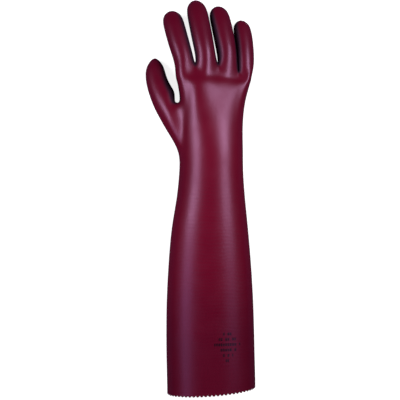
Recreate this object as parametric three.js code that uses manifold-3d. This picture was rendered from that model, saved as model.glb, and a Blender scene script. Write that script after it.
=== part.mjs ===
// A shoulder-length work glove for the right hand: a knitted liner dipped in PVC, so that sleeve,
// hand and fingers are one seamless shell with a pinked hem. It lies palm down.
// Millimetres. X runs from the thumb to the little finger, Y from the hem to the fingertips, and Z up
// from the surface that it lies on. The origin is under the middle of its bounding box.
import * as THREE from "three";
import { mergeVertices } from "three/addons/utils/BufferGeometryUtils.js";
import Module from "manifold-3d";

const wall = 1.5; // thickness of the coated cloth

// Sleeve
const sleeveLength = 345; // hem to wrist
const cuffWidth = 135;
const cuffHeight = 82;
const wristWidth = 97.5;
const wristHeight = 76;
const hemSlant = 10; // how much further the hem reaches on the thumb side
const restFlat = 3; // how far the soft wall is pressed flat where it lies on the surface

// Pinked hem
const pinkPitch = 6.5;
const pinkDepth = 2.6;

// Hand
const palmLength = 149; // wrist to the crotch beside the middle finger
const handOffset = 3.7; // the knuckles' middle, from the sleeve's middle line
const knuckleSlack = 1.06; // how much fuller the shell is at the knuckles than the roots' own sizes

// Colour of the coating
const coatColor = 0x6b1024;
const coatRoughness = 0.42;

// Sections of the sleeve from hem to wrist. along is a share of sleeveLength, flare goes from 0 at the
// wrist's size to 1 at the cuff's, drift is a share of cuffWidth and slant a share of hemSlant.
const sleeveRows = [
  { along: 0.0, flare: 1.0, drift: 0.0, slant: 1.0 },
  { along: 0.03, flare: 1.0, drift: 0.0, slant: 0.9 },
  { along: 0.18, flare: 1.0, drift: -0.01, slant: 0.3 },
  { along: 0.375, flare: 0.96, drift: -0.015, slant: 0.0 },
  { along: 0.56, flare: 0.77, drift: -0.017, slant: 0.0 },
  { along: 0.716, flare: 0.52, drift: -0.017, slant: 0.0 },
  { along: 0.844, flare: 0.18, drift: -0.004, slant: 0.0 },
  { along: 0.957, flare: 0.0, drift: 0.0, slant: 0.0 },
];

// Sections of the hand from wrist to crotch. along is a share of palmLength and drift one of
// wristWidth. fan goes from 0 at the wrist's width to 1 at the knuckles', roll does the same for the
// heights, and lean from a straight section to one that follows the crotches. valley, ridge and fold
// are shares of the groove between two knuckles and of the ridge and step on the back of the hand.
const palmRows = [
  { along: 0.11, fan: 0.0, roll: 0.0, drift: 0.0, lean: 0.0, valley: 0.0, ridge: 0.0, fold: 0.0 },
  { along: 0.36, fan: -0.05, roll: 0.2, drift: 0.0, lean: 0.0, valley: 0.0, ridge: 0.25, fold: 0.0 },
  { along: 0.6, fan: 0.04, roll: 0.6, drift: 0.02, lean: 0.0, valley: 0.0, ridge: 1.0, fold: 0.0 },
  { along: 0.79, fan: 0.62, roll: 0.97, drift: 0.015, lean: 0.1, valley: 0.0, ridge: 1.0, fold: 0.0 },
  { along: 0.85, fan: 0.9, roll: 1.0, drift: 0.0, lean: 0.3, valley: 0.35, ridge: 0.5, fold: 0.92 },
  { along: 0.92, fan: 1.0, roll: 1.0, drift: 0.0, lean: 0.6, valley: 0.9, ridge: 0.0, fold: 1.0 },
];
const grooveDepth = 8;
const ridgeHeight = 4; // of the taut coat behind the crotch of index and middle finger
const foldDepth = 4.4; // how far the back of the hand steps down where the fingers begin
const foldShares = [0, 1, 1, 0.8]; // how much of that step each finger has, from the index on

// The four fingers from the thumb side. length runs from crotch to tip, and rootWidth is the finger's
// part of the knuckles: the widths and depth are shares of fingerWidth. rise and thick are the height
// of the root's middle and the hand's thickness there, as shares of handThick. Splay leans to the
// thumb side and droop to the surface, in degrees, from root to tip.
const fingerLength = 100;
const fingerWidth = 32;
const handThick = 40;
const fingerShares = [
  // Index
  { length: 0.9, width: 1, depth: 0.90625, rootWidth: 0.984375, rise: 1.05, thick: 0.85 },
  // Middle
  { length: 1.046, width: 1, depth: 0.90625, rootWidth: 1.0625, rise: 1.1, thick: 0.925 },
  // Ring
  { length: 0.95, width: 0.984375, depth: 0.875, rootWidth: 0.96875, rise: 0.825, thick: 0.9 },
  // Little
  { length: 0.855, width: 0.875, depth: 0.75, rootWidth: 0.6875, rise: 0.65, thick: 0.775 },
];
const fingerLeans = [
  { splay: [18, 12], droop: [5, 32] },
  { splay: [10, 11], droop: [5, 30] },
  { splay: [7, 14], droop: [3, 28] },
  { splay: [-3, 13], droop: [3, 25] },
];
const fingers = fingerShares.map((f, i) => ({
  ...fingerLeans[i],
  length: f.length * fingerLength,
  width: f.width * fingerWidth,
  depth: f.depth * fingerWidth,
  rootWidth: f.rootWidth * fingerWidth,
  rise: f.rise * handThick,
  thick: f.thick * handThick,
}));
const fingerRoll = 20; // degrees that each finger's section leans to the little finger's side
const cornerIn = 0.16; // the hand's rounded sides at the knuckles, as shares of the outer roots' width
const cornerRise = 0.44; // and of their thickness

// The cage's web point after each finger but the last, as a share of palmLength. The smooth surface
// turns back a little before it.
const crotches = [1.01, 1.02, 0.93];

// Sections of a finger. along is a share of its length, width and depth are shares of its own.
const fingerRows = [
  { along: 0.1, width: 0.93, depth: 0.98 },
  { along: 0.33, width: 0.98, depth: 1.0 },
  { along: 0.62, width: 1.0, depth: 0.98 },
  { along: 0.84, width: 0.97, depth: 0.9 },
  { along: 0.95, width: 0.66, depth: 0.62 },
];

// Thumb: its root is inside the hand, at thumbSide from the wrist's middle line. Each section lies at a
// splay and droop from the one before, and face is the lean of the section itself, because the thumb
// fans out of the hand's side.
const thumbLength = 117;
const thumbWidth = 31;
const thumbDepth = 28;
const thumbRoll = 8;
const thumbSide = 46.8;
const thumbStart = 65; // from the wrist
const thumbRise = 35;
const thumbRows = [
  { along: 0.13, width: 1.42, depth: 1.3, splay: 75, droop: 4, face: 76 },
  { along: 0.36, width: 1.28, depth: 1.18, splay: 20, droop: 11, face: 42 },
  { along: 0.52, width: 1.14, depth: 1.08, splay: 25, droop: 16, face: 28 },
  { along: 0.67, width: 1.04, depth: 1.0, splay: 20, droop: 18, face: 17 },
  { along: 0.81, width: 0.96, depth: 0.94, splay: 10, droop: 19, face: 8 },
  { along: 0.92, width: 0.7, depth: 0.66, splay: 1, droop: 16, face: 3 },
];

// A cage ring of the sleeve and hand has a point on each side and dorsal and palmar points above and
// below, two for each finger and one at each end. Index 0 is the thumb side and the order goes over
// the back of the hand to the little finger's side, and back along the palm.
const backPoints = fingers.length * 2 + 1;
const ringSize = 2 * backPoints + 2;
const half = ringSize / 2;
const sideStep = THREE.MathUtils.degToRad(27); // from a side point to the first one on the back
const backStep = (Math.PI - 2 * sideStep) / (backPoints - 1);
const beltShare = 0.47; // the widest level of the sleeve's oval, as a share of its height

// A Catmull-Clark surface shrinks inside a ring of n points by this factor
const ringShrink = (n) => 2 / 3 + Math.cos((2 * Math.PI) / n) / 3;
const digitSides = 8;
const digitSwell = 1 / ringShrink(digitSides);
const sleeveSwell = 1 / ringShrink(ringSize);
const capWeight = 9 / 16; // how much of a cap's reach is left in the smooth tip
const sharpestShare = 0.7; // limit for the inner wall in a sharp fold, where its point would run off

const mix = THREE.MathUtils.lerp;
const rad = THREE.MathUtils.degToRad;

// Angle of cage point j on an oval, from the thumb side over the back
function ovalAngle(j) {
  const under = j > half;
  const k = under ? ringSize - j : j;
  const angle = k === 0 ? Math.PI
    : k === half ? 0
      : Math.PI - sideStep - (k - 1) * backStep;
  return under ? -angle : angle;
}

// Point j of an oval that lies on the surface, pressed flat underneath
function ovalPoint(j, width, height) {
  const angle = ovalAngle(j);
  const above = Math.sin(angle) >= 0;
  const belt = height * beltShare;
  const reach = above ? height - belt : belt + restFlat;
  const x = Math.cos(angle) * (width / 2) * sleeveSwell;
  const z = belt + Math.sin(angle) * reach * sleeveSwell;
  return { x, z: Math.max(z, 0) };
}

// Left edge of each finger's root along the knuckles, and the right edge of the last one
function rootEdges() {
  const total = fingers.reduce((sum, f) => sum + f.rootWidth, 0);
  const edges = [handOffset - total / 2];
  for (const f of fingers) edges.push(edges[edges.length - 1] + f.rootWidth);
  return edges;
}

// Point j of the section through the knuckles, where the hand follows the four roots
function knucklePoint(j, { valley, ridge, fold }) {
  const edges = rootEdges();
  const under = j > half;
  const k = under ? ringSize - j : j;
  const sign = under ? -1 : 1;
  const first = fingers[0];
  const last = fingers[fingers.length - 1];
  if (k === 0) return { x: edges[0], z: first.rise };
  if (k === half) return { x: edges[fingers.length], z: last.rise };
  const slot = (k - 1) / 2;
  if (slot === 0) {
    const x = edges[0] + cornerIn * first.rootWidth;
    return { x, z: first.rise + sign * cornerRise * first.thick };
  }
  if (slot === fingers.length) {
    const x = edges[fingers.length] - cornerIn * last.rootWidth;
    return { x, z: last.rise + sign * cornerRise * last.thick };
  }
  const level = (n) => {
    const reach = (fingers[n].thick * knuckleSlack) / 2;
    return fingers[n].rise + (under ? -reach : reach - fold * foldShares[n] * foldDepth);
  };
  if (Number.isInteger(slot)) {
    const crest = !under && slot === 1 ? ridge * ridgeHeight : 0;
    const z = (level(slot - 1) + level(slot)) / 2 + crest;
    return { x: edges[slot], z: z - sign * valley * grooveDepth };
  }
  const n = Math.floor(slot);
  return { x: (edges[n] + edges[n + 1]) / 2, z: level(n) };
}

// The share of the crotch nearest to point j, which the sections before it lean with
function crotchNear(j) {
  const slot = (Math.min(j, ringSize - j) - 1) / 2;
  const [before, after] = [Math.floor(slot), Math.ceil(slot)]
    .map((k) => crotches[THREE.MathUtils.clamp(k - 1, 0, crotches.length - 1)]);
  return (before + after) / 2;
}

// A cage: points and faces with four corners each, wound to face out
const cage = { points: [], faces: [] };
const addPoint = (x, y, z) => cage.points.push(new THREE.Vector3(x, y, z)) - 1;

// Joins two rings of point numbers with a band of faces, leaving out the columns in the set skip
function band(from, to, skip = new Set()) {
  const n = from.length;
  for (let j = 0; j < n; j++) {
    if (skip.has(j)) continue;
    const next = (j + 1) % n;
    cage.faces.push([from[j], from[next], to[next], to[j]]);
  }
}

function sleeveRing(row) {
  const width = mix(wristWidth, cuffWidth, row.flare);
  const height = mix(wristHeight, cuffHeight, row.flare);
  return Array.from({ length: ringSize }, (_, j) => {
    const { x, z } = ovalPoint(j, width, height);
    const y = -sleeveLength * (1 - row.along) + (row.slant * hemSlant * x) / cuffWidth;
    return addPoint(x + row.drift * cuffWidth, y, z);
  });
}

function palmRing(row) {
  return Array.from({ length: ringSize }, (_, j) => {
    const a = ovalPoint(j, wristWidth, wristHeight);
    const b = knucklePoint(j, row);
    const y = palmLength * row.along * mix(1, crotchNear(j), row.lean);
    const x = mix(a.x, b.x, row.fan) + row.drift * wristWidth;
    return addPoint(x, y, mix(a.z, b.z, row.roll));
  });
}

// A direction along the surface of the hand: splay leans to the thumb side, droop down
function heading(splay, droop) {
  const [a, b] = [rad(splay), rad(droop)];
  return new THREE.Vector3(-Math.sin(a) * Math.cos(b), Math.cos(a) * Math.cos(b), -Math.sin(b));
}

// Rings of a digit along a path that bends from row to row. The local axes are side, level and
// towards the little finger before the roll, and up, towards the back of the hand.
function digit(loop, root, length, width, depth, roll, rows) {
  const at = root.clone();
  let reached = 0;
  let ring = loop;
  for (const row of rows) {
    at.addScaledVector(heading(row.splay, row.droop), (row.along - reached) * length);
    reached = row.along;
    const way = heading(row.face, row.droop);
    const side = new THREE.Vector3(Math.cos(rad(row.face)), Math.sin(rad(row.face)), 0);
    side.applyAxisAngle(way, rad(roll));
    const up = side.clone().cross(way);
    const next = Array.from({ length: digitSides }, (_, j) => {
      const angle = Math.PI * (1.0 - (2 * j) / digitSides);
      const p = at.clone()
        .addScaledVector(side, (Math.cos(angle) * row.width * width * digitSwell) / 2)
        .addScaledVector(up, (Math.sin(angle) * row.depth * depth * digitSwell) / 2);
      return addPoint(p.x, p.y, p.z);
    });
    band(ring, next);
    ring = next;
  }
  // The cap: four faces round a middle point, far enough out for the smooth tip to end at the length
  const last = rows[rows.length - 1];
  const reach = ((1 - reached) * length) / capWeight;
  const tip = at.clone().addScaledVector(heading(last.face, last.droop), reach);
  const middle = addPoint(tip.x, tip.y, tip.z);
  for (let j = 0; j < digitSides; j += 2)
    cage.faces.push([ring[j], ring[j + 1], ring[(j + 2) % digitSides], middle]);
}

// Sleeve and hand
const rings = [...sleeveRows.map(sleeveRing), ...palmRows.map(palmRing)];
const thumbRing = sleeveRows.length; // the thumb's patch lies between this ring and the next two
const thumbColumns = new Set([ringSize - 1, 0]);
rings.slice(1).forEach((ring, i) => {
  const beside = i === thumbRing || i === thumbRing + 1;
  band(rings[i], ring, beside ? thumbColumns : new Set());
});

// Fingers: each root is a loop of three points on the back, three on the palm, and one on each side
const knuckles = rings[rings.length - 1];
const edges = rootEdges();
const webs = crotches.map((share, i) => {
  const above = cage.points[knuckles[2 * i + 3]];
  const below = cage.points[knuckles[ringSize - 2 * i - 3]];
  return addPoint((above.x + below.x) / 2, palmLength * share, (above.z + below.z) / 2);
});
fingers.forEach((f, i) => {
  const back = [1, 2, 3].map((k) => knuckles[2 * i + k]);
  const front = [3, 2, 1].map((k) => knuckles[ringSize - 2 * i - k]);
  const left = i === 0 ? knuckles[0] : webs[i - 1];
  const right = i === fingers.length - 1 ? knuckles[half] : webs[i];
  const start = Math.max(crotches[Math.min(i, crotches.length - 1)], crotches[Math.max(i - 1, 0)]);
  const root = new THREE.Vector3((edges[i] + edges[i + 1]) / 2, palmLength * start, f.rise);
  const rows = fingerRows.map((row, k) => {
    const halfway = (row.along + (k ? fingerRows[k - 1].along : 0)) / 2;
    return {
      ...row,
      splay: mix(f.splay[0], f.splay[1], halfway),
      face: mix(f.splay[0], f.splay[1], row.along),
      droop: mix(f.droop[0], f.droop[1], halfway),
    };
  });
  digit([left, ...back, right, ...front], root, f.length, f.width, f.depth, fingerRoll, rows);
});

// Thumb: its root is the rim of the patch left open beside the palm
const [near, mid, far] = [0, 1, 2].map((k) => rings[thumbRing + k]);
const under = ringSize - 1;
const thumbLoop = [near[0], near[1], mid[1], far[1], far[0], far[under], mid[under], near[under]];
digit(
  thumbLoop,
  new THREE.Vector3(-thumbSide, thumbStart, thumbRise),
  thumbLength, thumbWidth, thumbDepth, thumbRoll, thumbRows,
);

// One round of Catmull-Clark subdivision. The open edge at the hem stays on its own curve.
function subdivide({ points, faces }) {
  const used = [...new Set(faces.flat())];
  const facePoints = faces.map((f) =>
    f.reduce((sum, v) => sum.add(points[v]), new THREE.Vector3()).divideScalar(f.length));
  const edgeOf = new Map();
  const key = (a, b) => Math.min(a, b) * points.length + Math.max(a, b);
  faces.forEach((f, i) => f.forEach((a, k) => {
    const b = f[(k + 1) % f.length];
    if (!edgeOf.has(key(a, b))) edgeOf.set(key(a, b), { ends: [a, b], faces: [] });
    edgeOf.get(key(a, b)).faces.push(i);
  }));
  const out = { points: [], faces: [] };
  const add = (p) => out.points.push(p) - 1;
  const faceIndex = facePoints.map((p) => add(p.clone()));
  const around = new Map(used.map((v) => [v, { mids: [], faces: [], rim: [] }]));
  faces.forEach((f, i) => f.forEach((v) => around.get(v).faces.push(facePoints[i])));
  for (const edge of edgeOf.values()) {
    const [a, b] = edge.ends;
    const middle = points[a].clone().add(points[b]).divideScalar(2);
    const open = edge.faces.length === 1;
    for (const v of edge.ends) {
      around.get(v).mids.push(middle);
      if (open) around.get(v).rim.push(middle);
    }
    edge.index = add(open ? middle.clone()
      : facePoints[edge.faces[0]].clone().add(facePoints[edge.faces[1]]).divideScalar(4)
        .addScaledVector(middle, 0.5));
  }
  const mean = (list) => list.reduce((sum, p) => sum.add(p), new THREE.Vector3()).divideScalar(list.length);
  const vertexIndex = new Map();
  for (const v of used) {
    const near = around.get(v);
    const n = near.faces.length;
    const place = near.rim.length
      ? mean(near.rim).add(points[v]).divideScalar(2)
      : mean(near.faces).addScaledVector(mean(near.mids), 2).addScaledVector(points[v], n - 3)
        .divideScalar(n);
    vertexIndex.set(v, add(place));
  }
  faces.forEach((f, i) => f.forEach((v, k) => {
    const after = edgeOf.get(key(v, f[(k + 1) % f.length])).index;
    const before = edgeOf.get(key(v, f[(k + f.length - 1) % f.length])).index;
    out.faces.push([vertexIndex.get(v), after, faceIndex[i], before]);
  }));
  return out;
}

// The open edge of a surface as one loop of point numbers, in the faces' own direction
function openEdge({ faces }) {
  const next = new Map();
  const seen = new Set();
  for (const f of faces) f.forEach((a, k) => seen.add(a + "," + f[(k + 1) % f.length]));
  for (const f of faces)
    f.forEach((a, k) => {
      const b = f[(k + 1) % f.length];
      if (!seen.has(b + "," + a)) next.set(a, b);
    });
  const loop = [next.keys().next().value];
  while (next.get(loop[loop.length - 1]) !== loop[0]) loop.push(next.get(loop[loop.length - 1]));
  return loop;
}

// The same surface moved in by the wall's thickness. Each point goes as far as its faces need.
function inside({ points, faces }, rim) {
  const normals = faces.map((f) => {
    const across = points[f[2]].clone().sub(points[f[0]]);
    return across.cross(points[f[3]].clone().sub(points[f[1]])).normalize();
  });
  const around = points.map(() => []);
  faces.forEach((f, i) => f.forEach((v) => around[v].push(normals[i])));
  const onRim = new Set(rim);
  return points.map((p, v) => {
    const normal = around[v].reduce((sum, n) => sum.add(n), new THREE.Vector3());
    if (onRim.has(v)) normal.y = 0;
    normal.normalize();
    const share = around[v].reduce((sum, n) => sum + n.dot(normal), 0) / around[v].length;
    return p.clone().addScaledVector(normal, -wall / Math.max(share, sharpestShare));
  });
}

// The closed shell: outer faces, inner faces turned round, and the rim at the hem
function shell(surface) {
  const rim = openEdge(surface);
  const inner = inside(surface, rim);
  const n = surface.points.length;
  const positions = [...surface.points, ...inner].flatMap((p) => [p.x, p.y, p.z]);
  const triangles = [];
  for (const [a, b, c, d] of surface.faces) {
    triangles.push(a, b, c, a, c, d);
    triangles.push(n + a, n + c, n + b, n + a, n + d, n + c);
  }
  rim.forEach((a, k) => {
    const b = rim[(k + 1) % rim.length];
    triangles.push(b, a, n + a, b, n + a, n + b);
  });
  const geometry = new THREE.BufferGeometry();
  geometry.setAttribute("position", new THREE.Float32BufferAttribute(positions, 3));
  geometry.setIndex(triangles);
  return { geometry, hem: rim.map((v) => surface.points[v]) };
}

const wasm = await Module();
wasm.setup();

function solid(geometry) {
  const bare = geometry.clone();
  bare.deleteAttribute("normal");
  bare.deleteAttribute("uv");
  const merged = mergeVertices(bare);
  return new wasm.Manifold(new wasm.Mesh({
    numProp: 3,
    vertProperties: merged.attributes.position.array,
    triVerts: new Uint32Array(merged.index.array),
  }));
}

// The piece that pinking shears take out between two lobes of the hem, as a prism through the wall.
// It starts a little below the hem and ends with a rounded cusp between the lobes.
function notchGeometry(pitch) {
  const lobeSteps = 3;
  const clearBelow = 1.5 * pinkDepth;
  const graze = 0.02 * pinkDepth; // keeps the crest of a lobe off the hem's own edge
  const shape = new THREE.Shape();
  shape.moveTo(-pitch / 2, -clearBelow);
  shape.lineTo(pitch / 2, -clearBelow);
  for (let k = lobeSteps; k >= -lobeSteps; k--) {
    const t = k / lobeSteps;
    shape.lineTo((t * pitch) / 2, pinkDepth * (1 - Math.sin((Math.abs(t) * Math.PI) / 2)) - graze);
  }
  const through = 6 * wall;
  const geometry = new THREE.ExtrudeGeometry(shape, { depth: through, bevelEnabled: false });
  return geometry.translate(0, 0, -through / 2);
}

// Cuts the notches at equal steps along the hem
function pink(body, hem) {
  const curve = new THREE.CatmullRomCurve3(hem, true);
  curve.arcLengthDivisions = 20 * hem.length;
  const count = Math.round(curve.getLength() / pinkPitch);
  const notch = notchGeometry(curve.getLength() / count);
  const middle = hem.reduce((sum, p) => sum.add(p), new THREE.Vector3()).divideScalar(hem.length);
  let cut = body;
  for (let i = 0; i < count; i++) {
    const at = curve.getPointAt(i / count);
    const along = curve.getTangentAt(i / count);
    const out = at.clone().sub(middle);
    out.addScaledVector(along, -out.dot(along));
    out.y = 0;
    out.normalize();
    const up = out.clone().cross(along).normalize();
    if (up.y < 0) up.negate();
    const side = up.clone().cross(out).normalize();
    const place = new THREE.Matrix4().makeBasis(side, up, out).setPosition(at);
    cut = cut.subtract(solid(notch.clone().applyMatrix4(place)));
  }
  return cut;
}

function geometryOf(body) {
  const { numProp, numVert, vertProperties, triVerts } = body.getMesh();
  const positions = new Float32Array(numVert * 3);
  for (let i = 0; i < numVert; i++)
    positions.set(vertProperties.subarray(i * numProp, i * numProp + 3), i * 3);
  const geometry = new THREE.BufferGeometry();
  geometry.setAttribute("position", new THREE.BufferAttribute(positions, 3));
  geometry.setIndex(new THREE.BufferAttribute(triVerts, 1));
  return geometry;
}

const surface = subdivide(cage);
for (const p of surface.points)
  p.z = Math.max(p.z, 0); // soft tips press flat where they touch down
const blank = shell(surface);
const geometry = geometryOf(pink(solid(blank.geometry), blank.hem));
geometry.computeBoundingBox();
const box = geometry.boundingBox;
const middle = box.getCenter(new THREE.Vector3());
geometry.translate(-middle.x, -middle.y, -box.min.z);
geometry.computeVertexNormals();

const coating = new THREE.MeshStandardMaterial({
  color: coatColor,
  roughness: coatRoughness,
  metalness: 0,
});
const glove = new THREE.Mesh(geometry, coating);
glove.name = "glove";

const group = new THREE.Group();
group.add(glove);
export default group;
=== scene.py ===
# %% [markdown]
# # A long PVC coated work glove
#
# The real glove is knitted from cotton, pulled over a hand-shaped form and dipped in soft PVC, so the
# coat has no seams: sleeve, hand and fingers are one skin. It lies palm down, and the camera looks
# straight down on its back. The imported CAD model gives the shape, and this lesson makes its surface
# smooth, gives it a fine hem and builds the materials and the light.
# %% Load the frame
import math

import bmesh
import bpy
import numpy as np
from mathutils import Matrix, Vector
from mathutils.bvhtree import BVHTree


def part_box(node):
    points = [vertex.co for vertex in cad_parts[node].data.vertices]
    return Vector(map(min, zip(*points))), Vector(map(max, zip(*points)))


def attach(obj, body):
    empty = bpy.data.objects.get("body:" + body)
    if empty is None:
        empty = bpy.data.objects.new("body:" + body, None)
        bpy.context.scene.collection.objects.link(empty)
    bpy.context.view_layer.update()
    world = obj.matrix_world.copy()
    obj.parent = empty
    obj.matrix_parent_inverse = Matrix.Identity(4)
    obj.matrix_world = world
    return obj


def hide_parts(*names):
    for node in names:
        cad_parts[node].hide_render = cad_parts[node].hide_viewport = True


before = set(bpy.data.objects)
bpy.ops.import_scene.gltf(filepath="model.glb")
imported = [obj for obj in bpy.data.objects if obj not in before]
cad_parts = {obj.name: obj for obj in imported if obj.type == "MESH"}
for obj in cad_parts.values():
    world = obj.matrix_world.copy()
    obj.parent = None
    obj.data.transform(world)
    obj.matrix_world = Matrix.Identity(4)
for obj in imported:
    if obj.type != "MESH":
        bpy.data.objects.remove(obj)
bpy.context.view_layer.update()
scene = bpy.context.scene
low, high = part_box("glove")
print("CAD box in mm:", [round((b - a) * 1000, 1) for a, b in zip(low, high)])

# %% [markdown]
# ## Camera
#
# The photograph shows almost no perspective. A long lens from 1.3 m above keeps it that way, and
# the glove's 60 cm then fill the height of the square frame.
# %% Camera
camera = bpy.data.objects.new("camera", bpy.data.cameras.new("camera"))
camera.data.lens = 75
camera.location = (0.0, -0.0073, 1.3)
scene.collection.objects.link(camera)
scene.camera = camera
scene.view_settings.view_transform = "Standard"
print("camera at", tuple(camera.location), "lens", camera.data.lens)

# %% [markdown]
# ## Light
#
# A row of soft panels stands on each side of the glove. The glossy coat shows the rows as two bands
# along the sleeve and as streaks on the fingers, with its own colour between them. One long box on
# each side would do that too, but in the photograph the bands fade toward the hem and turn violet.
# So each row is cut into panels, (start, end, watts per square metre), that get weaker that way, and
# the ones below the wrist have a colder colour. A small lamp shines into the cuff, so the lining can
# be seen from the open end. The sky is bright only where the camera looks at it: a bright sky in the
# coat's reflections would put a grey veil over the deep red.
# %% Light
HAND_LIGHT = (1.0, 0.97, 1.0)
LOW_LIGHT = (1.0, 0.9, 1.45)
SKY_SEEN = 1.05  # strength of the sky where the camera looks at it
SKY_DIM = 0.03  # and for every other ray


def soft_box(name, place, target, size, watts, colour):
    data = bpy.data.lights.new(name, "AREA")
    data.shape = "RECTANGLE"
    data.size, data.size_y = size
    data.energy = watts
    data.color = colour
    lamp = bpy.data.objects.new(name, data)
    lamp.location = place
    lamp.rotation_euler = (Vector(target) - Vector(place)).to_track_quat("-Z", "X").to_euler()
    scene.collection.objects.link(lamp)
    return lamp


def soft_row(name, x, z, width, panels):
    for k, (start, end, watts) in enumerate(panels):
        middle = (start + end) / 2
        area = width * (end - start)
        place = (x, middle, z)
        target = (0, middle, 0.05)
        colour = LOW_LIGHT if end <= 0 else HAND_LIGHT
        soft_box(f"{name}_{k}", place, target, (width, end - start), watts * area, colour)


soft_row("left", -0.9, 0.92, 0.5, [(-0.7, -0.3, 2.5), (-0.3, 0, 4.5), (0, 0.15, 6), (0.15, 0.6, 30)])
soft_row("right", 0.84, 0.98, 0.5, [(-0.45, 0, 1.3), (0, 0.15, 9), (0.15, 0.6, 24), (0.6, 0.85, 36)])
soft_box("into_cuff", (0, -1.1, 0.25), (0, low[1], 0.04), (0.5, 0.3), 3.0, (1.0, 0.98, 0.96))
world = bpy.data.worlds.new("studio")
world.use_nodes = True
sky = world.node_tree.nodes["Background"].inputs
sky["Color"].default_value = (0.93, 0.93, 0.95, 1)
path = world.node_tree.nodes.new("ShaderNodeLightPath")
seen = world.node_tree.nodes.new("ShaderNodeMath")
seen.operation = "MULTIPLY_ADD"
seen.inputs[1].default_value = SKY_SEEN
seen.inputs[2].default_value = SKY_DIM
world.node_tree.links.new(path.outputs["Is Camera Ray"], seen.inputs[0])
world.node_tree.links.new(seen.outputs[0], sky["Strength"])
scene.world = world

# %% [markdown]
# ## The skin, from the CAD surface
#
# The CAD solid is a coarse shell of four-sided patches, each cut into two triangles. Joining the
# triangles again gives a clean cage for a subdivision surface, which turns it into smooth rubbery
# skin. A patch's diagonal always runs between two corners where more than four edges meet. The band
# at the hem is left out here, because its scallops are made finer in the next step.
# %% Cages of the outer and inner skin
HEM_SLOPE = 10 / 135  # the hem reaches further on the thumb side
BAND = 0.004  # the CAD's scallops and the row above them lie in this much of the hem


def above_hem(co):
    return co.y - HEM_SLOPE * co.x


def is_hub(vert):
    return len(vert.link_edges) != (3 if vert.is_boundary else 4)


def quad_cages(node):
    bm = bmesh.new()
    bm.from_mesh(node.data)
    bmesh.ops.remove_doubles(bm, verts=bm.verts, dist=1e-7)
    hem = min(above_hem(v.co) for v in bm.verts)
    doomed = [v for v in bm.verts if above_hem(v.co) < hem + BAND]
    bmesh.ops.delete(bm, geom=doomed, context="VERTS")
    diagonals = [e for e in bm.edges if not e.is_boundary and all(is_hub(v) for v in e.verts)]
    bmesh.ops.dissolve_edges(bm, edges=diagonals, use_verts=False)
    pieces = []
    left = set(bm.verts)
    while left:
        todo = [left.pop()]
        piece = set(todo)
        while todo:
            for edge in todo.pop().link_edges:
                for v in edge.verts:
                    if v in left:
                        left.discard(v)
                        piece.add(v)
                        todo.append(v)
        pieces.append(piece)
    pieces.sort(key=lambda p: max(v.co.x for v in p) - min(v.co.x for v in p), reverse=True)
    cages = []
    for piece in pieces:
        index = {v: i for i, v in enumerate(v for v in bm.verts if v in piece)}
        faces = [[index[v] for v in f.verts] for f in bm.faces if f.verts[0] in piece]
        cages.append(([tuple(v.co) for v in index], faces))
    bm.free()
    return hem, cages


hem_line, (outer_cage, inner_cage) = quad_cages(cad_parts["glove"])
for name, (points, faces) in {"outer": outer_cage, "inner": inner_cage}.items():
    print(name, len(points), "points", len(faces), "patches,", {len(f) for f in faces}, "sides")

# %% [markdown]
# ## Smoothing
#
# A subdivision surface draws in from its cage, most of all on thin fingers. So each cage point is
# first moved out by as much as the smooth surface falls short of it, and the skin then passes
# through the CAD's own points.
# %% Smooth skins
def mesh_of(name, points, faces):
    mesh = bpy.data.meshes.new(name)
    mesh.from_pydata(points, [], faces)
    return mesh


def new_object(name, mesh):
    obj = bpy.data.objects.new(name, mesh)
    scene.collection.objects.link(obj)
    return obj


def evaluated_mesh(obj):
    bpy.context.view_layer.update()
    graph = bpy.context.evaluated_depsgraph_get()
    return bpy.data.meshes.new_from_object(obj.evaluated_get(graph), depsgraph=graph)


def smooth(points, faces, levels):
    obj = new_object("cage", mesh_of("cage", points, faces))
    modifier = obj.modifiers.new("smooth", "SUBSURF")
    modifier.levels = modifier.render_levels = levels
    mesh = evaluated_mesh(obj)
    cage = obj.data
    bpy.data.objects.remove(obj)
    bpy.data.meshes.remove(cage)
    return mesh


def places(mesh):
    co = np.zeros(len(mesh.vertices) * 3)
    mesh.vertices.foreach_get("co", co)
    return co.reshape(-1, 3)


def skin(cage, levels):
    target = np.array(cage[0])
    points = target.copy()
    for _ in range(3):
        reached = places(smooth(points, cage[1], 1))[:len(target)]
        points += target - reached
    return smooth(points, cage[1], levels)


outer_skin = skin(outer_cage, 2)
inner_skin = skin(inner_cage, 2)
print("outer skin:", len(outer_skin.polygons), "faces; inner:", len(inner_skin.polygons))

# %% [markdown]
# ## The pinked hem
#
# The sleeve is cut off with pinking shears, which leave a row of small round lobes. A fine strip
# closes the last millimetres: down the outside, round the cut edge and up the inside. Its points
# know how far round the hem they are and how far down, and a Geometry Nodes tree lifts them
# into lobes. So the number and the depth of the lobes stay two plain inputs.
# %% Strip at the hem
WALL = 0.0015
LOBES = 58
LOBE_DEPTH = 0.0025
STEPS = 10  # points for each lobe
PHASE = 0.2  # share of a lobe at the loop's start, so both layers' lobes line up seen from above
SECTION = [  # how far down the strip, and how deep into the wall
    (0.2, 0.0), (0.5, 0.0), (0.78, 0.0), (0.93, 0.0), (0.985, 0.12), (1.0, 0.4),
    (1.0, 0.65), (0.985, 0.9), (0.93, 1.0), (0.78, 1.0), (0.5, 1.0), (0.0, 1.0),
]


def rim_loop(bm):
    start = min((v for e in bm.edges if e.is_boundary for v in e.verts), key=lambda v: v.co.x)
    loop = [start]
    before = None
    while True:
        ahead = [e.other_vert(loop[-1]) for e in loop[-1].link_edges if e.is_boundary]
        ahead.sort(key=lambda v: v.co.z)
        step = next(v for v in ahead if v is not before)
        if step is start and len(loop) > 2:
            return loop
        before = loop[-1]
        loop.append(step)


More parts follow.
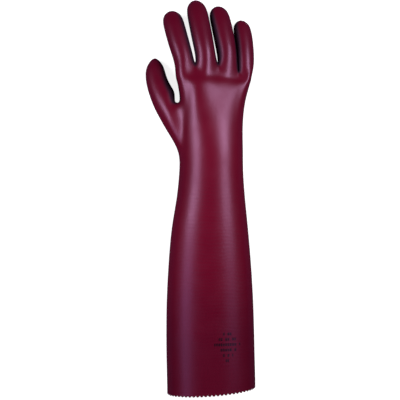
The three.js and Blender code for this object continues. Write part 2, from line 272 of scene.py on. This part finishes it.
def turns(points):
    """Shares of the way round a closed loop of points, and its length."""
    steps = np.linalg.norm(np.roll(points, -1, axis=0) - points, axis=1)
    return np.concatenate([[0], np.cumsum(steps)[:-1]]) / steps.sum(), steps.sum()


coat_bm = bmesh.new()
coat_bm.from_mesh(outer_skin)
turn_layer = coat_bm.verts.layers.float.new("turn")
drop_layer = coat_bm.verts.layers.float.new("drop")
rim_layer = coat_bm.verts.layers.float.new("rim")
loop = rim_loop(coat_bm)
loop_co = np.array([v.co[:] for v in loop])
loop_turn, hem_length = turns(loop_co)
count = LOBES * STEPS
shares = np.arange(count) / count
wrapped = np.vstack([loop_co, loop_co[:1]])
columns = np.stack([np.interp(shares, np.append(loop_turn, 1), wrapped[:, k]) for k in range(3)], axis=1)
ahead = np.roll(columns, -3, axis=0) - np.roll(columns, 3, axis=0)
outward = np.stack([ahead[:, 2], 0 * ahead[:, 0], -ahead[:, 0]], axis=1)
outward /= np.linalg.norm(outward, axis=1)[:, None]
if np.sum(outward * (columns - columns.mean(axis=0))) < 0:
    outward = -outward
hem_y = hem_line + HEM_SLOPE * columns[:, 0]
rows = []
for drop, depth in SECTION:
    row = []
    for i in range(count):
        x, y, z = columns[i] - outward[i] * depth * WALL
        vert = coat_bm.verts.new((x, y + (hem_y[i] - y) * drop, max(z, 0.0)))
        vert[turn_layer] = shares[i] + PHASE / LOBES
        vert[drop_layer] = drop
        vert[rim_layer] = 1.0 if drop > 0.95 else 0.0
        row.append(vert)
    rows.append(row)


def face(*verts):
    """A face whose winding doesn't matter yet: all are turned outwards together at the end."""
    coat_bm.faces.new(verts)


for upper, lower in zip(rows, rows[1:]):
    for i in range(count):
        face(upper[i], upper[i - 1], lower[i - 1], lower[i])
i = j = 0
while i < len(loop) or j < count:
    loop_next = loop_turn[i + 1] if i + 1 < len(loop) else 1.0
    if j == count or (i < len(loop) and loop_next <= (j + 1) / count):
        face(loop[i], loop[(i + 1) % len(loop)], rows[0][j % count])
        i += 1
    else:
        face(rows[0][j], rows[0][(j + 1) % count], loop[i % len(loop)])
        j += 1
bmesh.ops.recalc_face_normals(coat_bm, faces=coat_bm.faces)
coat_mesh = bpy.data.meshes.new("glove_coat")
coat_bm.to_mesh(coat_mesh)
coat_bm.free()
print("hem:", round(hem_length * 1000), "mm round,", LOBES, "lobes of",
      round(hem_length * 1000 / LOBES, 1), "mm; coat:", len(coat_mesh.polygons), "faces")

# %% [markdown]
# ## Helpers
#
# Nodes are many and their sockets are easily mixed up, so a few short helpers make one node each,
# take plain numbers or other nodes' outputs alike, and open a new group with named sockets.
# %% Helpers for node trees
def node(tree, kind, inputs=None, **settings):
    made = tree.nodes.new(kind)
    for name, value in settings.items():
        setattr(made, name, value)
    for name, value in (inputs or {}).items():
        socket = made.inputs[name]
        if isinstance(value, bpy.types.NodeSocket):
            tree.links.new(value, socket)
        else:
            socket.default_value = value
    return made


def maths(tree, operation, *values, clamp=False):
    made = tree.nodes.new("ShaderNodeMath")
    made.operation = operation
    made.use_clamp = clamp
    for socket, value in zip(made.inputs, values):
        if isinstance(value, bpy.types.NodeSocket):
            tree.links.new(value, socket)
        else:
            socket.default_value = value
    return made.outputs[0]


def group(name, inputs, outputs, kind="ShaderNodeTree"):
    tree = bpy.data.node_groups.new(name, kind)
    for label, (socket, default) in inputs.items():
        made = tree.interface.new_socket(label, in_out="INPUT", socket_type=socket)
        if default is not None:
            made.default_value = default
    for label, socket in outputs.items():
        tree.interface.new_socket(label, in_out="OUTPUT", socket_type=socket)
    return tree, tree.nodes.new("NodeGroupInput").outputs, tree.nodes.new("NodeGroupOutput").inputs


FLOAT = "NodeSocketFloat"
VECTOR = "NodeSocketVector"
print("helpers:", [f.__name__ for f in (node, maths, group)])

# %% [markdown]
# ## Shared effects
#
# Two effects are used by more than one material, so each is a shader node group, built once.
# `fine_grain` is the slight unevenness of a dipped or knitted surface. `ribs` are waves across the
# sleeve that wander a little, for the ripples where the knit shows through and for the knit itself.
# %% Fine grain and ribs
grain, take, give = group(
    "fine_grain",
    {"Place": (VECTOR, None), "Size": (FLOAT, 0.002), "Roughness": (FLOAT, 0.5)},
    {"Height": FLOAT},
)
scale = maths(grain, "DIVIDE", 1.0, take["Size"])
noise = node(grain, "ShaderNodeTexNoise", {"Vector": take["Place"], "Scale": scale,
                                            "Detail": 2.0, "Roughness": take["Roughness"]})
grain.links.new(noise.outputs[0], give["Height"])

ribs, take, give = group(
    "ribs",
    {"Place": (VECTOR, None), "Pitch": (FLOAT, 0.003), "Wander": (FLOAT, 0.001)},
    {"Height": FLOAT},
)
split = node(ribs, "ShaderNodeSeparateXYZ", {"Vector": take["Place"]}).outputs
drift = node(ribs, "ShaderNodeTexNoise", {"Vector": take["Place"], "Scale": 28.0, "Detail": 2.0}).outputs[0]
along = maths(ribs, "MULTIPLY_ADD", maths(ribs, "SUBTRACT", drift, 0.5), take["Wander"], split["Y"])
turn = maths(ribs, "MULTIPLY", maths(ribs, "DIVIDE", along, take["Pitch"]), 2 * math.pi)
wave = maths(ribs, "MULTIPLY_ADD", maths(ribs, "SINE", turn), 0.5, 0.5)
ribs.links.new(wave, give["Height"])
print("groups:", [g.name for g in bpy.data.node_groups])

# %% [markdown]
# ## A mark in ink
#
# Near the hem the sleeve carries a small patch of dark ink. Ink has no height worth modelling, so it
# is a mask in the coat's material: a block of plain worn dashes that say nothing. Rows and cells come
# from the coordinates, and white noise leaves a cell out here and there.
# %% Ink mark
INK_PLACE = (0.040, -0.231)
INK_ROW = 0.0078
INK_CELL = 0.0034
INK_REACH = 0.0205  # half the width of the widest row
INK_TAPER = 0.0065  # and how much each row further out loses


def off_centre(tree, value, centre):
    return maths(tree, "ABSOLUTE", maths(tree, "SUBTRACT", value, centre))


def ink_mask(tree, place):
    split = node(tree, "ShaderNodeSeparateXYZ", {"Vector": place}).outputs
    u = maths(tree, "SUBTRACT", split["X"], INK_PLACE[0])
    row = maths(tree, "DIVIDE", maths(tree, "SUBTRACT", split["Y"], INK_PLACE[1]), INK_ROW)
    cell = maths(tree, "DIVIDE", u, INK_CELL)
    row_number = maths(tree, "FLOOR", row)
    spot = node(tree, "ShaderNodeCombineXYZ", {"X": maths(tree, "FLOOR", cell), "Y": row_number})
    chance = node(tree, "ShaderNodeTexWhiteNoise", {"Vector": spot.outputs[0]}).outputs["Value"]
    reach = maths(tree, "MULTIPLY_ADD", off_centre(tree, row_number, 0.8), -INK_TAPER, INK_REACH)
    worn = node(tree, "ShaderNodeTexNoise", {"Vector": place, "Scale": 900.0, "Detail": 1.0}).outputs[0]
    mask = maths(tree, "MULTIPLY_ADD", worn, 1.8, 0.0, clamp=True)
    for part in (
        maths(tree, "GREATER_THAN", chance, 0.22),
        maths(tree, "LESS_THAN", off_centre(tree, u, 0.0), reach),
        maths(tree, "LESS_THAN", off_centre(tree, maths(tree, "FRACT", row), 0.5), 0.26),
        maths(tree, "LESS_THAN", off_centre(tree, maths(tree, "FRACT", cell), 0.5), 0.4),
        maths(tree, "GREATER_THAN", split["Z"], 0.035),
    ):
        mask = maths(tree, "MULTIPLY", mask, part)
    return mask


print("ink: rows of", INK_ROW * 1000, "mm, cells of", INK_CELL * 1000, "mm")

# %% [markdown]
# ## The PVC coat
#
# Soft PVC is a wine red that lets no light through, with a satin gloss. Its highlights are broad
# and slightly violet, which the specular tint gives. The red is darker toward the fingertips and the
# hem, and that is painted shade, fitted as colour: two reds are mixed by the distance from the wrist,
# and noise adds uneven tone. The coat is smooth on the hand, takes the faint ripples of the knit on
# the sleeve, and is darker at the cut edge. Painted shade from rays cast at the hand makes it nearly
# black and duller between the fingers.
# %% Coat material
def material(name):
    made = bpy.data.materials.new(name)
    made.use_nodes = True
    tree = made.node_tree
    return made, tree, tree.nodes["Principled BSDF"]


def mix_colour(tree, share, a, b):
    made = node(tree, "ShaderNodeMix", {0: share}, data_type="RGBA")
    for socket, value in ((made.inputs[6], a), (made.inputs[7], b)):
        if isinstance(value, bpy.types.NodeSocket):
            tree.links.new(value, socket)
        else:
            socket.default_value = value
    return made.outputs[2]


def placed(tree, group_tree, inputs):
    return node(tree, "ShaderNodeGroup", inputs, node_tree=group_tree).outputs[0]


def shape_of(tree, height, distance, before=None):
    inputs = {"Height": height, "Distance": distance, "Strength": 1.0}
    if before is not None:
        inputs["Normal"] = before
    return node(tree, "ShaderNodeBump", inputs).outputs[0]


WINE = (0.203, 0.0014, 0.02, 1)
# painted shade: the darker red toward the fingertips and the hem; also the colour of the knit ripples
WINE_SHADE_AND_RIBS = (0.13, 0.0008, 0.016, 1)
# painted shade: the near-black red put between the fingers
WINE_PAINTED_SHADE = (0.02, 0.0006, 0.008, 1)
WINE_CUT = (0.07, 0.001, 0.009, 1)
INK = (0.008, 0.001, 0.005, 1)
KNIT_PITCH = 0.0052
coat, tree, surface = material("pvc_coat")
place = node(tree, "ShaderNodeTexCoord").outputs["Object"]
cloud = node(tree, "ShaderNodeTexNoise", {"Vector": place, "Scale": 14.0, "Detail": 3.0}).outputs[0]
rim = node(tree, "ShaderNodeAttribute", attribute_name="rim").outputs["Fac"]
height = node(tree, "ShaderNodeSeparateXYZ", {"Vector": place}).outputs["Y"]
# painted shade: the red gets darker toward the fingertips and the hem, by distance from the wrist; the
# noise adds uneven tone
from_wrist = node(tree, "ShaderNodeMapRange", {"Value": maths(tree, "ABSOLUTE", height), 1: 0.1, 2: 0.22})
patchy = maths(tree, "MULTIPLY_ADD", cloud, 0.8, -0.2)
deep = maths(tree, "MULTIPLY_ADD", from_wrist.outputs[0], 0.8, patchy, clamp=True)
body_colour = mix_colour(tree, deep, WINE, WINE_SHADE_AND_RIBS)
# painted shade: the ray-cast share of how enclosed a point is darkens the crotches nearly to black
shade_read = node(tree, "ShaderNodeAttribute", attribute_name="painted_shade").outputs["Fac"]
shade_share = node(tree, "ShaderNodeMapRange", {"Value": shade_read, 1: 0.05, 2: 0.38}, interpolation_type="SMOOTHSTEP")
shade_share = shade_share.outputs[0]
body_colour = mix_colour(tree, shade_share, body_colour, WINE_PAINTED_SHADE)
on_sleeve = node(tree, "ShaderNodeMapRange", {"Value": height, 1: 0.08, 2: 0.0, 3: 0.0, 4: 1.0}).outputs[0]
knit = placed(tree, ribs, {"Place": place, "Pitch": KNIT_PITCH, "Wander": 0.012})
ripples = maths(tree, "MULTIPLY", knit, on_sleeve)
body_colour = mix_colour(tree, maths(tree, "MULTIPLY", ripples, 0.16), body_colour, WINE_SHADE_AND_RIBS)
ink = ink_mask(tree, place)
body_colour = mix_colour(tree, ink, body_colour, INK)
tree.links.new(mix_colour(tree, rim, body_colour, WINE_CUT), surface.inputs["Base Color"])
scuffs = placed(tree, grain, {"Place": place, "Size": 0.02})
rough = maths(tree, "MULTIPLY_ADD", scuffs, 0.12, 0.3)
rough = maths(tree, "MULTIPLY_ADD", on_sleeve, -0.05, rough)
rough = maths(tree, "MULTIPLY_ADD", ripples, 0.05, rough)
tree.links.new(maths(tree, "MULTIPLY_ADD", shade_share, 0.35, rough), surface.inputs["Roughness"])
peel = placed(tree, grain, {"Place": place, "Size": 0.0045})
normal = shape_of(tree, peel, 0.00005)
normal = shape_of(tree, ripples, 0.00002, normal)
tree.links.new(normal, surface.inputs["Normal"])
surface.inputs["Specular IOR Level"].default_value = 0.62
surface.inputs["Specular Tint"].default_value = (1.0, 0.6, 1.0, 1)
print("coat material:", len(tree.nodes), "nodes")

# %% [markdown]
# ## The knitted lining
#
# Inside, the cotton knit that carries the PVC is bare. Its wales run down the sleeve and its courses
# round it, so two sets of ribs crossed make the small loops. A mesh of yarn would be far too heavy
# for something that shows only in the open cuff, so the loops are colour and bump, with painted shade
# in the gaps between them.
# %% Lining material
COTTON = (0.86, 0.79, 0.67, 1)
COTTON_SHADE = (0.56, 0.48, 0.37, 1)
lining, tree, surface = material("cotton_knit")
place = node(tree, "ShaderNodeTexCoord").outputs["Object"]
courses = placed(tree, ribs, {"Place": place, "Pitch": 0.0016, "Wander": 0.0012})
turned = node(tree, "ShaderNodeMapping", {"Vector": place, "Rotation": (0, 0, math.pi / 2)}).outputs[0]
wales = placed(tree, ribs, {"Place": turned, "Pitch": 0.0014, "Wander": 0.0012})
loops = maths(tree, "MULTIPLY", courses, wales)
fuzz = placed(tree, grain, {"Place": place, "Size": 0.0012, "Roughness": 0.7})
# painted shade: the darker cotton fills the gaps between the loops
yarn = maths(tree, "MULTIPLY_ADD", loops, 0.7, 0.2)
tree.links.new(mix_colour(tree, yarn, COTTON_SHADE, COTTON), surface.inputs["Base Color"])
normal = shape_of(tree, loops, 0.0004)
normal = shape_of(tree, fuzz, 0.0002, normal)
tree.links.new(normal, surface.inputs["Normal"])
surface.inputs["Roughness"].default_value = 0.95
surface.inputs["Sheen Weight"].default_value = 0.3
print("lining material:", len(tree.nodes), "nodes")

# %% [markdown]
# ## Scallops with Geometry Nodes
#
# One tree works on the whole coat and bows the cut edge into lobes. Points above the strip have no
# `drop`, so they stay where they are. The result is turned into a plain mesh, and the modifier goes.
# %% Scallop tree
scallops, take, give = group(
    "scallops",
    {
        "Geometry": ("NodeSocketGeometry", None),
        "Lobes": (FLOAT, 40.0),
        "Depth": (FLOAT, 0.002),
        "Material": ("NodeSocketMaterial", None),
    },
    {"Geometry": "NodeSocketGeometry"},
    "GeometryNodeTree",
)


def read(name):
    made = scallops.nodes.new("GeometryNodeInputNamedAttribute")
    made.data_type = "FLOAT"
    made.inputs["Name"].default_value = name
    return made.outputs["Attribute"]


lobe = maths(scallops, "FRACT", maths(scallops, "MULTIPLY", read("turn"), take["Lobes"]))
side = maths(scallops, "ABSOLUTE", maths(scallops, "MULTIPLY_ADD", lobe, 2.0, -1.0))
bow = maths(scallops, "SINE", maths(scallops, "MULTIPLY", side, math.pi / 2))
rise = maths(scallops, "MULTIPLY", maths(scallops, "SUBTRACT", 1.0, bow), take["Depth"])
lift = maths(scallops, "MULTIPLY", rise, read("drop"))
offset = node(scallops, "ShaderNodeCombineXYZ", {"Y": lift}).outputs[0]
moved = node(scallops, "GeometryNodeSetPosition", {"Geometry": take["Geometry"], "Offset": offset})
real = node(scallops, "GeometryNodeRealizeInstances", {"Geometry": moved.outputs[0]})
painted = node(scallops, "GeometryNodeSetMaterial", {"Geometry": real.outputs[0],
                                                     "Material": take["Material"]})
scallops.links.new(painted.outputs[0], give["Geometry"])


def socket_id(tree, name):
    return next(s.identifier for s in tree.interface.items_tree if s.name == name and s.in_out == "INPUT")


coat_object = new_object("glove_coat", coat_mesh)
modifier = coat_object.modifiers.new("scallops", "NODES")
modifier.node_group = scallops
for name, value in {"Lobes": float(LOBES), "Depth": LOBE_DEPTH, "Material": coat}.items():
    modifier[socket_id(scallops, name)] = value
coat_object.update_tag()
coat_mesh = evaluated_mesh(coat_object)
coat_object.modifiers.clear()
coat_object.data = coat_mesh
coat_mesh.name = "glove_coat"
coat_mesh.shade_smooth()
print("coat:", len(coat_mesh.polygons), "faces, materials", [m.name for m in coat_mesh.materials])

# %% [markdown]
# ## Painted shade between the fingers
#
# Between the fingers the glove is nearly black, and here that is painted shade. Rays sent out
# from each point of the hand tell how enclosed it is, and the coat's material reads that share to
# darken the crotches and the flanks beside them. So this shade is part of the colour, and it stays
# when the lights are changed.
# %% Painted shade on the coat
SHADE_REACH = 0.03  # metres that a ray looks
SHADE_RAYS = 64
SHADE_ROUNDS = 3  # rounds in which each point takes the mean of its neighbours and itself
HAND_START = 0.06  # no ray is cast from the sleeve, below this Y


def sphere_directions(count):
    found = []
    for k in range(count):
        z = 1 - (2 * k + 1) / count
        around = k * math.pi * (3 - math.sqrt(5))
        flat = math.sqrt(1 - z * z)
        found.append(Vector((flat * math.cos(around), flat * math.sin(around), z)))
    return found


def enclosed_share(tree, co, normal, directions):
    start = co + normal * 0.0004
    total = met = 0.0
    for way in directions:
        facing = way.dot(normal)
        if facing < 0.1:
            continue
        total += facing
        if tree.ray_cast(start, way, SHADE_REACH)[0] is not None:
            met += facing
    return met / total


places_now = [v.co.copy() for v in coat_mesh.vertices]
rays = BVHTree.FromPolygons(places_now, [p.vertices[:] for p in coat_mesh.polygons])
spread = sphere_directions(SHADE_RAYS)
painted_shade = np.zeros(len(places_now))
for v in coat_mesh.vertices:
    if v.co.y > HAND_START:
        painted_shade[v.index] = enclosed_share(rays, v.co, v.normal, spread)
pairs = np.array([e.vertices[:] for e in coat_mesh.edges])
for _ in range(SHADE_ROUNDS):
    total = painted_shade.copy()
    number = np.ones(len(painted_shade))
    for a, b in ((0, 1), (1, 0)):
        np.add.at(total, pairs[:, a], painted_shade[pairs[:, b]])
        np.add.at(number, pairs[:, a], 1)
    painted_shade = total / number
coat_mesh.attributes.new("painted_shade", "FLOAT", "POINT").data.foreach_set("value", painted_shade)
print("pooled share: mean", round(float(painted_shade.mean()), 3), "most", round(float(painted_shade.max()), 2))

# %% [markdown]
# ## Lining and floor
#
# The lining is the CAD's inner wall, made smooth the same way. Its faces already point into the
# hollow. The floor is a plain white sheet that the glove lies on. As with the sky, only the camera
# sees it so bright: for the coat's reflections it is dim and a little violet, which keeps the
# glove's edges dark.
# %% Lining and floor
FLOOR_SEEN = (0.8, 0.8, 0.8, 1)
FLOOR_DIM = (0.07, 0.055, 0.11, 1)
FLOOR_GLOW = 0.85  # light the floor gives off, for the camera alone
FLOOR_HALF = 3.0  # metres from its middle to each side
inner_skin.name = "glove_lining"
inner_skin.materials.append(lining)
inner_skin.shade_smooth()
lining_object = new_object("glove_lining", inner_skin)

paper, tree, surface = material("pale_floor")
seen = node(tree, "ShaderNodeLightPath").outputs["Is Camera Ray"]
sheet = mix_colour(tree, seen, FLOOR_DIM, FLOOR_SEEN)
tree.links.new(sheet, surface.inputs["Base Color"])
surface.inputs["Emission Color"].default_value = (1, 1, 1, 1)
tree.links.new(maths(tree, "MULTIPLY", seen, FLOOR_GLOW), surface.inputs["Emission Strength"])
surface.inputs["Roughness"].default_value = 0.9
surface.inputs["Specular IOR Level"].default_value = 0.2
corners = [(-1, -1), (1, -1), (1, 1), (-1, 1)]
floor_mesh = mesh_of("floor", [(x * FLOOR_HALF, y * FLOOR_HALF, 0) for x, y in corners], [(0, 1, 2, 3)])
floor_mesh.materials.append(paper)
floor = new_object("floor", floor_mesh)
print("floor at z", floor.location.z)

# %% [markdown]
# ## Hand over
#
# Both skins stand for the one CAD solid and move with it.
# %% Finish
for piece in (coat_object, lining_object):
    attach(piece, "root")
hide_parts("glove")
